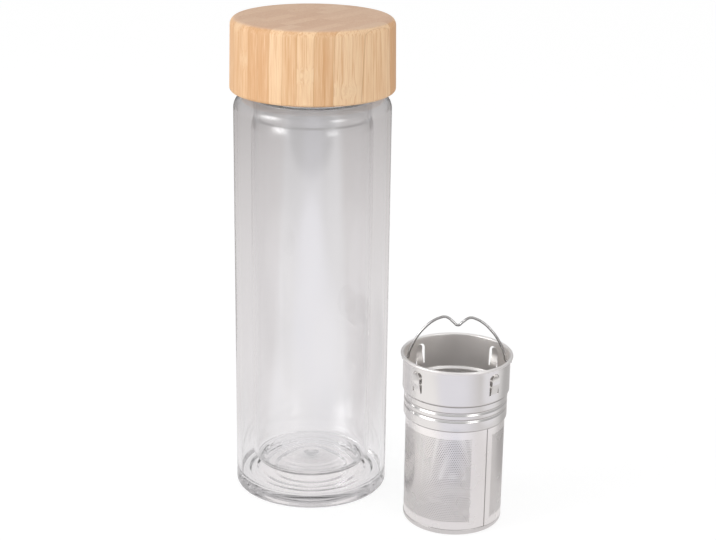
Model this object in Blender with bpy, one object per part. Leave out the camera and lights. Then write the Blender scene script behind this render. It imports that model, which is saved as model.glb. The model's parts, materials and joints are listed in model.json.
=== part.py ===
# Double-walled glass tea bottle with a bamboo screw cap, and its steel infuser standing beside it.
# Metres, +Z up. The origin is the centre of the bottle's flat base.

import math

import bmesh
import bpy
from mathutils import Matrix, Vector

# Gaps between neighbouring pieces, and how far a cutter runs past what it cuts
CLEARANCE = 0.0003
OVERRUN = 0.001

# How finely round shapes are divided
SEGMENTS = 48
CORNER_STEPS = 3
SHOULDER_STEPS = 5
SHARP_ANGLE = math.radians(32)

# Glass body
FLASK_RADIUS = 0.0260
FLASK_WALL = 0.0017
AIR_GAP = 0.00571
OUTER_WALL = 0.0017
BODY_HEIGHT = 0.1784
SHOULDER_ROUNDING = 0.0056
SHOULDER_WALL = 0.0019
FOOT_THICKNESS = 0.0052
FOOT_ROUNDING = 0.0019
FOOT_INNER_ROUNDING = 0.0034
FLASK_LIFT = 0.0053
FLASK_FLOOR = 0.0021
FLASK_ROUNDING = 0.0060
NUB_RADIUS = 0.0034
NUB_HEIGHT = 0.0011
NUB_TIP_SHARE = 0.45

# Neck of the flask and its thread
NECK_INSET = 0.0010
NECK_WALL = 0.0019
NECK_HEIGHT = 0.0176
NECK_TAPER_HEIGHT = 0.0060
NECK_TAPER_DROP = 0.0085
LIP_ROUNDING = 0.0008
THREAD_PITCH = 0.0040
THREAD_DEPTH = 0.0012
THREAD_PLAY = 0.00035
THREAD_ROOT_SHARE = 0.6
THREAD_CREST_SHARE = 0.3
THREAD_BURIAL = 0.0003
THREAD_LEAD = 0.00285
NECK_THREAD_TURNS = 1.5
LINER_THREAD_TURNS = 1.25
THREAD_FADE_TURNS = 0.12

# Cap, its liner and its seal
CAP_GAP = 0.00035
CAP_OVERHANG = 0.00159
CAP_CROWN = 0.0091
CAP_TAPER = 0.00055
CAP_TOP_ROUNDING = 0.0030
CAP_FOOT_ROUNDING = 0.0014
LINER_WALL = 0.00185
LINER_TOP = 0.0018
LINER_RECESS = 0.0006
LINER_ROUNDING = 0.0006
SEAL_THICKNESS = 0.0016
SEAL_ROUNDING = 0.0005

# Infuser: sheet, collar and rolled rim
INFUSER_HEIGHT = 0.07507
COLLAR_FIT = 0.00055
COLLAR_SHEET = 0.0004
RIM_ROLL_RADIUS = 0.00066
RIM_OVERHANG = 0.00145
RIM_STEPS = 8
STEP_DEPTH = 0.0007
STEP_HEIGHT = 0.0014
SKIRT_HEIGHT = 0.0110
GROOVE_DEPTH = 0.00042
GROOVE_WIDTH = 0.0018
GROOVE_SHARES = (0.436, 0.709)

# Spring tabs lanced out of the collar, one to each quarter
TAB_COUNT = 4
TAB_WIDTH = 0.0053
TAB_SLIT = 0.00115
TAB_SQUEEZE = 0.0003
TAB_TOP_DROP = 0.0030
TAB_HEIGHT = 0.0092
TAB_FOOT_GAP = 0.00247
TAB_SHARES = ((0.0, 0.0), (0.18, 0.8), (0.4, 1.0), (0.6, 1.0), (0.82, 0.8), (1.0, 0.0))
TAB_COLUMNS = 4
COLUMNS_BETWEEN_TABS = 8

# Infuser: basket and base
BASKET_SHEET = 0.00035
BASKET_STOP_GAP = 0.0005
BASE_HEIGHT = 0.0026
BASE_ROUNDING = 0.0016

# Wire handle, upright. Its outline runs from the middle dip out to the leg, as shares of leg span and height
WIRE_RADIUS = 0.00055
WIRE_HOLE_PLAY = 0.00035
HOLE_SIDES = 12
PIVOT_DROP = 0.0033
HANDLE_FOLD_GAP = 0.00195
HANDLE_LEG_GAP = 0.00125
HANDLE_BEND = 0.0010
HANDLE_TIP = 0.0005
HANDLE_OUTLINE_SHARES = (
    (0.0, 0.812),
    (0.095, 0.885),
    (0.185, 0.968),
    (0.265, 1.0),
    (0.370, 0.974),
    (0.530, 0.878),
    (0.685, 0.720),
    (0.820, 0.530),
    (0.930, 0.300),
    (0.985, 0.140),
)

# Where the infuser stands beside the bottle
STANDING_GAP = 0.01234
STANDING_ANGLE = math.radians(-29.63)
INFUSER_TURN = math.radians(-3.70)

# Radii and heights that follow from the sizes above
BODY_RADIUS = FLASK_RADIUS + AIR_GAP + OUTER_WALL
NECK_RADIUS = FLASK_RADIUS - NECK_INSET
NECK_BORE = NECK_RADIUS - NECK_WALL
NECK_TOP = BODY_HEIGHT + NECK_HEIGHT
FLASK_BASE = FOOT_THICKNESS + FLASK_LIFT
LINER_BORE = NECK_RADIUS + THREAD_DEPTH + THREAD_PLAY
LINER_RADIUS = LINER_BORE + LINER_WALL
LINER_CEILING = NECK_TOP + SEAL_THICKNESS + 2 * CLEARANCE
CAP_CEILING = LINER_CEILING + LINER_TOP + CLEARANCE
CAP_FOOT = BODY_HEIGHT + CAP_GAP
CAP_TOP = CAP_CEILING + CAP_CROWN
CAP_RADIUS = BODY_RADIUS + CAP_OVERHANG
LINER_FOOT = CAP_FOOT + LINER_RECESS
NECK_THREAD_START = LINER_FOOT + THREAD_LEAD + THREAD_PITCH / 2
COLLAR_RADIUS = NECK_BORE - COLLAR_FIT
COLLAR_INSIDE = COLLAR_RADIUS - COLLAR_SHEET
TAB_FOOT = INFUSER_HEIGHT - TAB_TOP_DROP - TAB_HEIGHT
STEP_FOOT = TAB_FOOT - TAB_FOOT_GAP - STEP_HEIGHT
COLLAR_FOOT = STEP_FOOT - SKIRT_HEIGHT
SKIRT_RADIUS = COLLAR_RADIUS - STEP_DEPTH
GROOVE_HEIGHTS = [COLLAR_FOOT + SKIRT_HEIGHT * share for share in GROOVE_SHARES]
BASKET_RADIUS = SKIRT_RADIUS - COLLAR_SHEET - CLEARANCE
BASKET_TOP = GROOVE_HEIGHTS[0] - GROOVE_WIDTH / 2 - BASKET_STOP_GAP
RIM_RADIUS = COLLAR_RADIUS + RIM_OVERHANG
PIVOT_HEIGHT = INFUSER_HEIGHT - PIVOT_DROP


def clear_scene():
    for obj in list(bpy.data.objects):
        bpy.data.objects.remove(obj, do_unlink=True)


def material(name, colour, roughness, metallic=0.0, transmission=0.0):
    made = bpy.data.materials.new(name)
    made.use_nodes = True
    shader = made.node_tree.nodes["Principled BSDF"]
    shader.inputs["Base Color"].default_value = (*colour, 1.0)
    shader.inputs["Roughness"].default_value = roughness
    shader.inputs["Metallic"].default_value = metallic
    shader.inputs["Transmission Weight"].default_value = transmission
    return made


def add_object(name, data, finish, parent=None):
    data.materials.append(finish)
    obj = bpy.data.objects.new(name, data)
    bpy.context.scene.collection.objects.link(obj)
    obj.parent = parent
    return obj


def add_mesh(name, bm, finish, parent=None):
    mesh = bpy.data.meshes.new(name)
    bm.to_mesh(mesh)
    bm.free()
    mesh.shade_smooth()
    mesh.set_sharp_from_angle(angle=SHARP_ANGLE)
    return add_object(name, mesh, finish, parent)


def add_empty(name, location, turn=0.0, parent=None):
    empty = bpy.data.objects.new(name, None)
    bpy.context.scene.collection.objects.link(empty)
    empty.parent = parent
    empty.location = location
    empty.rotation_euler.z = turn
    return empty


def rounded(corners, closed):
    """Points of a profile whose corners are (radius, height, rounding, steps) with the last two optional."""
    places = [Vector(corner[:2]) for corner in corners]
    points = []
    for index, corner in enumerate(corners):
        place = places[index]
        end = not closed and index in (0, len(corners) - 1)
        rounding = corner[2] if len(corner) > 2 else 0
        if end or not rounding:
            points.append(place)
            continue
        back = places[index - 1] - place
        ahead = places[(index + 1) % len(places)] - place
        half = back.angle(ahead) / 2
        reach = min(rounding / math.tan(half), back.length / 2, ahead.length / 2)
        radius = reach * math.tan(half)
        centre = place + (back.normalized() + ahead.normalized()).normalized() * radius / math.sin(half)
        start = place + back.normalized() * reach - centre
        finish = place + ahead.normalized() * reach - centre
        steps = corner[3] if len(corner) > 3 else CORNER_STEPS
        sweep = start.angle_signed(finish)
        for step in range(steps + 1):
            turn = Matrix.Rotation(-sweep * step / steps, 2)
            points.append(centre + turn @ start)
    return points


def spun(points, closed):
    """Turns a profile of (radius, height) points round the Z axis into one closed surface."""
    bm = bmesh.new()
    verts = [bm.verts.new((point[0], 0, point[1])) for point in points]
    pairs = list(zip(verts, verts[1:] + verts[:1]))
    if not closed:
        pairs.pop()
    edges = [bm.edges.new(pair) for pair in pairs]
    bmesh.ops.spin(bm, geom=verts + edges, axis=(0, 0, 1), angle=math.tau, steps=SEGMENTS, use_merge=True)
    bmesh.ops.remove_doubles(bm, verts=bm.verts[:], dist=CLEARANCE / 100)
    bmesh.ops.recalc_face_normals(bm, faces=bm.faces[:])
    return bm


def thread_ridge(name, root_radius, crest_radius, start_height, turns, finish):
    """A helical ridge that rises from root_radius to crest_radius and fades out at both ends."""
    burial = math.copysign(THREAD_BURIAL, root_radius - crest_radius)
    buried_radius = root_radius + burial
    root_half = THREAD_PITCH * THREAD_ROOT_SHARE / 2
    crest_half = THREAD_PITCH * THREAD_CREST_SHARE / 2
    section = (
        (buried_radius, -root_half),
        (crest_radius, -crest_half),
        (crest_radius, crest_half),
        (buried_radius, root_half),
    )
    steps = round(turns * SEGMENTS)
    faded_radius = root_radius + burial / 2
    bm = bmesh.new()
    rings = []
    for step in range(steps + 1):
        turned = step / SEGMENTS
        strength = min(1, turned / THREAD_FADE_TURNS, (turns - turned) / THREAD_FADE_TURNS)
        strength = math.sin(strength * math.pi / 2)
        ring = []
        for radius, rise in section:
            if radius == crest_radius:
                radius = faded_radius + (crest_radius - faded_radius) * strength
            height = start_height + turned * THREAD_PITCH + rise
            angle = turned * math.tau
            ring.append(bm.verts.new((radius * math.cos(angle), radius * math.sin(angle), height)))
        rings.append(ring)
    for ring, following in zip(rings, rings[1:]):
        for side in range(len(section)):
            ahead = (side + 1) % len(section)
            bm.faces.new((ring[side], ring[ahead], following[ahead], following[side]))
    bm.faces.new(rings[0])
    bm.faces.new(rings[-1])
    bmesh.ops.recalc_face_normals(bm, faces=bm.faces[:])
    ridge = add_mesh(name, bm, finish)
    ridge.hide_render = True
    ridge.display_type = "WIRE"
    return ridge


def combine(obj, other, operation):
    modifier = obj.modifiers.new(other.name, "BOOLEAN")
    modifier.operation = operation
    modifier.solver = "EXACT"
    modifier.object = other


def make_outer_wall(finish):
    inside = BODY_RADIUS - OUTER_WALL
    mouth = NECK_RADIUS + CLEARANCE
    underside = BODY_HEIGHT - SHOULDER_WALL
    profile = rounded(
        (
            (0, 0),
            (BODY_RADIUS, 0, FOOT_ROUNDING),
            (BODY_RADIUS, BODY_HEIGHT, SHOULDER_ROUNDING, SHOULDER_STEPS),
            (mouth, BODY_HEIGHT),
            (mouth, underside),
            (inside, underside, SHOULDER_ROUNDING - OUTER_WALL, SHOULDER_STEPS),
            (inside, FOOT_THICKNESS, FOOT_INNER_ROUNDING),
            (0, FOOT_THICKNESS),
        ),
        closed=False,
    )
    return add_mesh("outer_wall", spun(profile, closed=False), finish)


def make_inner_flask(finish):
    inside = FLASK_RADIUS - FLASK_WALL
    taper_top = BODY_HEIGHT - NECK_TAPER_DROP
    taper_base = taper_top - NECK_TAPER_HEIGHT
    floor = FLASK_BASE + FLASK_FLOOR
    taper_rounding = NECK_TAPER_HEIGHT / 2
    profile = rounded(
        (
            (0, FLASK_BASE),
            (FLASK_RADIUS, FLASK_BASE, FLASK_ROUNDING, SHOULDER_STEPS),
            (FLASK_RADIUS, taper_base, taper_rounding, 1),
            (NECK_RADIUS, taper_top, taper_rounding, 1),
            (NECK_RADIUS, NECK_TOP, LIP_ROUNDING, 2),
            (NECK_BORE, NECK_TOP, LIP_ROUNDING, 2),
            (NECK_BORE, taper_top, taper_rounding, 1),
            (inside, taper_base, taper_rounding, 1),
            (inside, floor, FLASK_ROUNDING - FLASK_WALL, SHOULDER_STEPS),
            (NUB_RADIUS, floor),
            (NUB_RADIUS * NUB_TIP_SHARE, floor + NUB_HEIGHT),
            (0, floor + NUB_HEIGHT),
        ),
        closed=False,
    )
    flask = add_mesh("inner_flask", spun(profile, closed=False), finish)
    crest = NECK_RADIUS + THREAD_DEPTH
    ridge = thread_ridge("neck_thread", NECK_RADIUS, crest, NECK_THREAD_START, NECK_THREAD_TURNS, finish)
    combine(flask, ridge, "UNION")
    return flask


def make_bamboo_cap(finish):
    bore = LINER_RADIUS + CLEARANCE
    profile = rounded(
        (
            (0, CAP_TOP),
            (CAP_RADIUS - CAP_TAPER, CAP_TOP, CAP_TOP_ROUNDING, SHOULDER_STEPS),
            (CAP_RADIUS, CAP_FOOT, CAP_FOOT_ROUNDING),
            (bore, CAP_FOOT),
            (bore, CAP_CEILING),
            (0, CAP_CEILING),
        ),
        closed=False,
    )
    return add_mesh("bamboo_cap", spun(profile, closed=False), finish)


def make_cap_liner(finish):
    top = LINER_CEILING + LINER_TOP
    profile = rounded(
        (
            (0, top),
            (LINER_RADIUS, top, LINER_ROUNDING, 1),
            (LINER_RADIUS, LINER_FOOT, LINER_ROUNDING, 1),
            (LINER_BORE, LINER_FOOT, LINER_ROUNDING, 1),
            (LINER_BORE, LINER_CEILING),
            (0, LINER_CEILING),
        ),
        closed=False,
    )
    liner = add_mesh("cap_liner", spun(profile, closed=False), finish)
    # Half a pitch below the neck's ridge, so that the two lie between each other
    start = NECK_THREAD_START - THREAD_PITCH / 2
    crest = LINER_BORE - THREAD_DEPTH
    ridge = thread_ridge("liner_thread", LINER_BORE, crest, start, LINER_THREAD_TURNS, finish)
    combine(liner, ridge, "UNION")
    return liner


def make_cap_seal(finish):
    outside = LINER_BORE - CLEARANCE
    inside = NECK_BORE
    foot = NECK_TOP + CLEARANCE
    top = foot + SEAL_THICKNESS
    profile = rounded(
        (
            (outside, top, SEAL_ROUNDING, 1),
            (outside, foot, SEAL_ROUNDING, 1),
            (inside, foot, SEAL_ROUNDING, 1),
            (inside, top, SEAL_ROUNDING, 1),
        ),
        closed=True,
    )
    return add_mesh("cap_seal", spun(profile, closed=True), finish)


def tab_rows():
    """The height of each row that crosses a spring tab, and how far the tab bulges there."""
    bulge = COLLAR_FIT + TAB_SQUEEZE
    return [(TAB_FOOT + TAB_HEIGHT * up, bulge * out) for up, out in TAB_SHARES]


def collar_profile():
    """The collar's section, up its outside, round its rolled rim and down its inside, and the first tab row."""
    outside = [(SKIRT_RADIUS, COLLAR_FOOT)]
    for middle in GROOVE_HEIGHTS:
        outside.append((SKIRT_RADIUS, middle - GROOVE_WIDTH / 2))
        outside.append((SKIRT_RADIUS - GROOVE_DEPTH, middle))
        outside.append((SKIRT_RADIUS, middle + GROOVE_WIDTH / 2))
    outside.append((SKIRT_RADIUS, STEP_FOOT))
    outside.append((COLLAR_RADIUS, STEP_FOOT + STEP_HEIGHT))
    first_tab_row = len(outside)
    outside += [(COLLAR_RADIUS, height) for height, _ in tab_rows()]
    roll = Vector((RIM_RADIUS - RIM_ROLL_RADIUS, INFUSER_HEIGHT - RIM_ROLL_RADIUS))
    rim = []
    for step in range(RIM_STEPS):
        angle = math.tau * step / RIM_STEPS - math.pi
        rim.append(roll + RIM_ROLL_RADIUS * Vector((math.cos(angle), math.sin(angle))))
    rim.append((COLLAR_INSIDE, roll.y))
    inside = [(radius - COLLAR_SHEET, height) for radius, height in reversed(outside)]
    return outside + rim + inside, first_tab_row


def collar_angles():
    """Angles of the collar's columns: slit, two halves of the strip, slit, then even ones up to the next tab."""
    half = TAB_WIDTH / 2 / COLLAR_RADIUS
    strip = half - TAB_SLIT / COLLAR_RADIUS
    pitch = math.tau / TAB_COUNT
    angles = []
    for tab in range(TAB_COUNT):
        middle = pitch * tab + pitch / 2
        angles += [middle - half, middle - strip, middle, middle + strip]
        span = pitch - 2 * half
        angles += [middle + half + span * step / COLUMNS_BETWEEN_TABS for step in range(COLUMNS_BETWEEN_TABS)]
    return angles


def grid_face(grid, column, row):
    """The face between a column and the next one, and between a row and the next one."""
    beside = (column + 1) % len(grid)
    corners = {grid[column][row], grid[column][row + 1], grid[beside][row], grid[beside][row + 1]}
    return next(face for face in grid[column][row].link_faces if set(face.verts) == corners)


def cut_slit(bm, grid, column, sides):
    """Opens the sheet between a column and the next one, and closes the cut edge between its two sides."""
    rims = []
    for rows in sides:
        cells = [grid_face(grid, column, min(pair)) for pair in zip(rows, rows[1:])]
        edges = {edge for cell in cells for edge in cell.edges}
        rims += [edge for edge in edges if sum(face in cells for face in edge.link_faces) == 1]
        bmesh.ops.delete(bm, geom=cells, context="FACES_ONLY")
    for edge in [edge for edge in bm.edges if not edge.link_faces]:
        bm.edges.remove(edge)
    bmesh.ops.bridge_loops(bm, edges=rims)


def form_tabs(bm, grid, first_row):
    """Cuts a slit on both sides of each spring tab and bulges the strip between them outwards."""
    outer = [first_row + index for index in range(len(TAB_SHARES))]
    inner = [len(grid[0]) - 1 - row for row in outer]
    for tab in range(TAB_COUNT):
        first = tab * (TAB_COLUMNS + COLUMNS_BETWEEN_TABS)
        for column in (first, first + TAB_COLUMNS - 1):
            cut_slit(bm, grid, column, (outer, inner))
        for rows in (outer, inner):
            for row, (_, out) in zip(rows, tab_rows()):
                for column in range(first + 1, first + TAB_COLUMNS):
                    place = grid[column][row].co
                    place.xy += place.xy.normalized() * out


def make_collar(finish, stand):
    profile, first_tab_row = collar_profile()
    bm = bmesh.new()
    grid = []
    for angle in collar_angles():
        places = [(radius * math.cos(angle), radius * math.sin(angle), height) for radius, height in profile]
        grid.append([bm.verts.new(place) for place in places])
    for column, beside in zip(grid, grid[1:] + grid[:1]):
        edges = []
        for line in (column, beside):
            pairs = zip(line, line[1:] + line[:1])
            edges += [bm.edges.get(pair) or bm.edges.new(pair) for pair in pairs]
        bmesh.ops.bridge_loops(bm, edges=edges)
    form_tabs(bm, grid, first_tab_row)
    bmesh.ops.recalc_face_normals(bm, faces=bm.faces[:])
    collar = add_mesh("infuser_collar", bm, finish, stand)
    hole = bmesh.new()
    bmesh.ops.create_cone(
        hole,
        cap_ends=True,
        segments=HOLE_SIDES,
        radius1=WIRE_RADIUS + WIRE_HOLE_PLAY,
        radius2=WIRE_RADIUS + WIRE_HOLE_PLAY,
        depth=2 * (COLLAR_RADIUS + OVERRUN),
        matrix=Matrix.Translation((0, 0, PIVOT_HEIGHT)) @ Matrix.Rotation(math.pi / 2, 4, "Y"),
    )
    cutter = add_mesh("handle_holes", hole, finish, stand)
    cutter.hide_render = True
    cutter.display_type = "WIRE"
    combine(collar, cutter, "DIFFERENCE")
    return collar


def make_basket(finish, stand):
    foot = BASE_HEIGHT + CLEARANCE
    inside = BASKET_RADIUS - BASKET_SHEET
    profile = ((BASKET_RADIUS, BASKET_TOP), (BASKET_RADIUS, foot), (inside, foot), (inside, BASKET_TOP))
    return add_mesh("infuser_basket", spun(profile, closed=True), finish, stand)


def make_base(finish, stand):
    inside = BASKET_RADIUS - BASKET_SHEET
    profile = rounded(
        (
            (0, 0),
            (BASKET_RADIUS, 0, BASE_ROUNDING),
            (BASKET_RADIUS, BASE_HEIGHT),
            (inside, BASE_HEIGHT),
            (inside, BASKET_SHEET, BASE_ROUNDING - BASKET_SHEET),
            (0, BASKET_SHEET),
        ),
        closed=False,
    )
    return add_mesh("infuser_base", spun(profile, closed=False), finish, stand)


def make_handle(finish, pivot):
    leg = COLLAR_INSIDE - HANDLE_LEG_GAP - WIRE_RADIUS
    tip = COLLAR_RADIUS + HANDLE_TIP
    # Tall enough to hold, and low enough that its two humps clear the collar's wall when it is folded down
    reach = COLLAR_INSIDE - HANDLE_FOLD_GAP - WIRE_RADIUS
    hump = leg * max(HANDLE_OUTLINE_SHARES, key=lambda share: share[1])[0]
    height = math.sqrt(reach**2 - hump**2)
    half = [(leg * across, height * up) for across, up in HANDLE_OUTLINE_SHARES]
    corner = HANDLE_BEND * (1 - math.sqrt(0.5))
    half += [(leg, HANDLE_BEND), (leg + corner, corner), (leg + HANDLE_BEND, 0), (tip, 0)]
    places = [(-across, up) for across, up in reversed(half[1:])] + half
    curve = bpy.data.curves.new("infuser_handle", "CURVE")
    curve.dimensions = "3D"
    curve.bevel_depth = WIRE_RADIUS
    curve.bevel_resolution = 2
    curve.resolution_u = 3
    curve.use_fill_caps = True
    spline = curve.splines.new("BEZIER")
    spline.bezier_points.add(len(places) - 1)
    for point, (across, up) in zip(spline.bezier_points, places):
        point.co = (across, 0, up)
        point.handle_left_type = "AUTO"
        point.handle_right_type = "AUTO"
    return add_object("infuser_handle", curve, finish, pivot)


def main():
    clear_scene()
    glass = material("clear_glass", (0.93, 0.96, 0.95), 0.03, transmission=0.9)
    bamboo = material("bamboo", (0.80, 0.60, 0.38), 0.55)
    plastic = material("natural_plastic", (0.86, 0.86, 0.83), 0.45)
    silicone = material("clear_silicone", (0.82, 0.84, 0.84), 0.6)
    polished = material("polished_steel", (0.78, 0.77, 0.77), 0.16, metallic=1.0)
    brushed = material("satin_steel", (0.72, 0.70, 0.69), 0.32, metallic=1.0)
    wire = material("steel_wire", (0.62, 0.61, 0.60), 0.22, metallic=1.0)

    make_outer_wall(glass)
    make_inner_flask(glass)
    make_bamboo_cap(bamboo)
    make_cap_liner(plastic)
    make_cap_seal(silicone)

    distance = CAP_RADIUS + RIM_RADIUS + STANDING_GAP
    place = (distance * math.cos(STANDING_ANGLE), distance * math.sin(STANDING_ANGLE), 0)
    stand = add_empty("infuser_stand", place, INFUSER_TURN)
    pivot = add_empty("handle_pivot", (0, 0, PIVOT_HEIGHT), parent=stand)
    make_collar(polished, stand)
    make_basket(brushed, stand)
    make_base(brushed, stand)
    make_handle(wire, pivot)


main()
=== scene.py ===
import json
import math

import bpy
from mathutils import Matrix, Vector

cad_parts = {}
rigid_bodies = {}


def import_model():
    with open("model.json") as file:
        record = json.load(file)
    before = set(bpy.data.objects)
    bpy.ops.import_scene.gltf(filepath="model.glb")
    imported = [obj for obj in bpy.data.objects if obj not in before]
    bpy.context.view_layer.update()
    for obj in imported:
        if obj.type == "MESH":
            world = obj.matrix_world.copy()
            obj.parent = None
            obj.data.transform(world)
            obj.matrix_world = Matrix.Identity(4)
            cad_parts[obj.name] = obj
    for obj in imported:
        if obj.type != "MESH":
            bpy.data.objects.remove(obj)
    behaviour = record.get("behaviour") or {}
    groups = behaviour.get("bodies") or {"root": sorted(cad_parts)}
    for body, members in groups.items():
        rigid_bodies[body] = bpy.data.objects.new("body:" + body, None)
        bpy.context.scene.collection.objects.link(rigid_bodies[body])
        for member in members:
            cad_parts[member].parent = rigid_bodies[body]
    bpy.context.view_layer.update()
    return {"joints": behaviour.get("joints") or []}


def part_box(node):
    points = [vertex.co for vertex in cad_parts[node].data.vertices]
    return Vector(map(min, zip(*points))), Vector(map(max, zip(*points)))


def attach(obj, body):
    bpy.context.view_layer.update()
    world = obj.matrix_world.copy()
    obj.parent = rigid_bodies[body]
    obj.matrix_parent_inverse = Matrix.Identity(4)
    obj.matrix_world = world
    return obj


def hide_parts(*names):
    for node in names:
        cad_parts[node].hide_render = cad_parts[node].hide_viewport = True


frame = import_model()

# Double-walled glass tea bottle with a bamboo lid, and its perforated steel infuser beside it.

scene = bpy.context.scene
mm = 0.001
weld = 0.002 * mm
# Share of a straight stretch that the arcs at its two ends may take up
straightShare = 0.998


# Modelling steps that several pieces share

def pickOnly(piece):
    bpy.ops.object.select_all(action="DESELECT")
    piece.select_set(True)
    bpy.context.view_layer.objects.active = piece


def editMode():
    bpy.ops.object.mode_set(mode="EDIT")


def objectMode():
    bpy.ops.object.mode_set(mode="OBJECT")


def pickAll():
    bpy.ops.mesh.select_all(action="SELECT")


def shiftPicked(x, y, z):
    bpy.ops.transform.translate(value=(x, y, z))


def extrudePicked(x, y, z):
    bpy.ops.mesh.extrude_region_move(TRANSFORM_OT_translate={"value": (x, y, z)})


def spinPicked(steps, angle=math.tau):
    bpy.ops.mesh.spin(steps=steps, angle=angle, center=(0, 0, 0), axis=(0, 0, 1))


def pickInEdit(piece, kind, test):
    # Selects the vertices, edges or faces that pass the test, and stays in edit mode
    editMode()
    bpy.ops.mesh.select_mode(type=kind)
    bpy.ops.mesh.select_all(action="DESELECT")
    objectMode()
    mesh = piece.data
    if kind == "VERT":
        for vertex in mesh.vertices:
            vertex.select = test(vertex.co)
    elif kind == "EDGE":
        for edge in mesh.edges:
            edge.select = all(test(mesh.vertices[index].co) for index in edge.vertices)
    else:
        for face in mesh.polygons:
            face.select = test(face.center)
    editMode()


def roundCorners(corners, closed=False, arcStep=math.radians(9)):
    # Corners are (radius, height) or (radius, height, rounding), and each rounding becomes an arc
    places = [Vector(corner[:2]) for corner in corners]
    count = len(corners)
    arms, wanted = [], []
    for index, corner in enumerate(corners):
        back = places[index - 1] - places[index]
        ahead = places[(index + 1) % count] - places[index]
        isEnd = not closed and index in (0, count - 1)
        plain = isEnd or len(corner) < 3
        half = math.pi / 2 if plain else back.angle(ahead) / 2
        arms.append((back, ahead, half, plain))
        wanted.append(0 if plain else corner[2] / math.tan(half))
    # Two arcs on one straight stretch share it where it is too short for both
    reaches = list(wanted)
    for index in range(count if closed else count - 1):
        there = (index + 1) % count
        length = arms[index][1].length * straightShare
        total = wanted[index] + wanted[there]
        if total > length:
            reaches[index] = min(reaches[index], wanted[index] * length / total)
            reaches[there] = min(reaches[there], wanted[there] * length / total)
    points = []
    for place, reach, (back, ahead, half, plain) in zip(places, reaches, arms):
        if plain:
            points.append(tuple(place))
            continue
        back, ahead = back.normalized(), ahead.normalized()
        radius = reach * math.tan(half)
        middle = place + (back + ahead).normalized() * radius / math.sin(half)
        start = place + back * reach - middle
        sweep = start.angle_signed(place + ahead * reach - middle)
        steps = max(2, math.ceil(abs(sweep) / arcStep))
        for step in range(steps + 1):
            points.append(tuple(middle + Matrix.Rotation(-sweep * step / steps, 2) @ start))
    return points


def evenRun(radius, low, high, gap):
    # Points up or down a straight wall, close enough for a thread or a bulge
    steps = max(1, round(abs(high - low) / gap))
    return [(radius, low + (high - low) * step / steps) for step in range(1, steps)]


def drawOutline(name, outline):
    # One vertex in the XZ plane, extruded from point to point
    bpy.ops.mesh.primitive_circle_add(vertices=3, radius=mm)
    piece = bpy.context.object
    piece.name = piece.data.name = name
    editMode()
    bpy.ops.mesh.select_mode(type="VERT")
    pickAll()
    bpy.ops.mesh.merge(type="CENTER")
    shiftPicked(outline[0][0], 0, outline[0][1])
    for here, there in zip(outline, outline[1:]):
        extrudePicked(there[0] - here[0], 0, there[1] - here[1])
    return piece


def weldAll(inside=False):
    pickAll()
    bpy.ops.mesh.remove_doubles(threshold=weld)
    bpy.ops.mesh.normals_make_consistent(inside=inside)
    objectMode()


def turnCorners(name, steps, corners, closed=False, inside=False):
    outline = roundCorners(corners, closed)
    piece = drawOutline(name, outline + outline[:1] if closed else outline)
    pickAll()
    spinPicked(steps)
    weldAll(inside)
    return piece


def smoothShade(piece, degrees=35):
    pickOnly(piece)
    bpy.ops.object.shade_smooth_by_angle(angle=math.radians(degrees))


def applyModifiers(piece):
    pickOnly(piece)
    for modifier in list(piece.modifiers):
        bpy.ops.object.modifier_apply(modifier=modifier.name)


def applyPlace(piece):
    # The place goes into the mesh, so that the object stays at the origin
    pickOnly(piece)
    bpy.ops.object.transform_apply(location=True, rotation=True, scale=True)


def thicken(piece, thickness, offset=-1, otherSide=1):
    # The drawn side keeps its place, and the sheet grows behind it with the next material
    solid = piece.modifiers.new("sheet", "SOLIDIFY")
    solid.thickness = thickness
    solid.material_offset = solid.material_offset_rim = otherSide
    solid.offset = offset
    solid.use_even_offset = True
    applyModifiers(piece)


def cutAway(piece, cutter):
    cut = piece.modifiers.new("cut", "BOOLEAN")
    cut.operation = "DIFFERENCE"
    cut.solver = "EXACT"
    cut.object = cutter
    applyModifiers(piece)
    bpy.data.objects.remove(cutter)


def faceSheet(piece, side):
    # An open sheet has no inside, so the way most of it faces says whether it is turned right
    pickOnly(piece)
    lean = sum(face.area * face.center.xy.dot(face.normal.xy) for face in piece.data.polygons)
    if (lean > 0) != (side == "out"):
        editMode()
        pickAll()
        bpy.ops.mesh.flip_normals()
        objectMode()


def dress(piece, body, slot, finish, *nodes):
    if finish:
        piece.data.materials.append(finish)
    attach(piece, body)
    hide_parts(*nodes)


# Shader helpers and the groups that several finishes use

def feed(tree, node, values):
    # An input takes either a link or a plain value
    for key, value in values.items():
        if isinstance(value, bpy.types.NodeSocket):
            tree.links.new(value, node.inputs[key])
        else:
            node.inputs[key].default_value = value


def addNode(tree, kind, values=None, **settings):
    node = tree.nodes.new("ShaderNode" + kind)
    for key, value in settings.items():
        setattr(node, key, value)
    feed(tree, node, values or {})
    return node


def compute(tree, operation, *values):
    inputs = dict(enumerate(values))
    return addNode(tree, "Math", inputs, operation=operation).outputs[0]


def onVectors(tree, operation, *values):
    inputs = dict(enumerate(values))
    return addNode(tree, "VectorMath", inputs, operation=operation).outputs


def stretched(tree, vector, scales, shift=None):
    longer = onVectors(tree, "MULTIPLY", vector, scales)[0]
    return longer if shift is None else onVectors(tree, "ADD", longer, shift)[0]


def splitAxes(tree, vector):
    return addNode(tree, "SeparateXYZ", {0: vector}).outputs


def joinAxes(tree, *values):
    return addNode(tree, "CombineXYZ", dict(enumerate(values))).outputs[0]


def noise(tree, vector, scale=1.0, detail=2.0, roughness=0.5):
    values = {"Vector": vector, "Scale": scale, "Detail": detail, "Roughness": roughness}
    return addNode(tree, "TexNoise", values).outputs["Fac"]


def blend(tree, share, first, second, mode="MIX"):
    values = {0: share, 6: first, 7: second}
    return addNode(tree, "Mix", values, data_type="RGBA", blend_type=mode).outputs[2]


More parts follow.
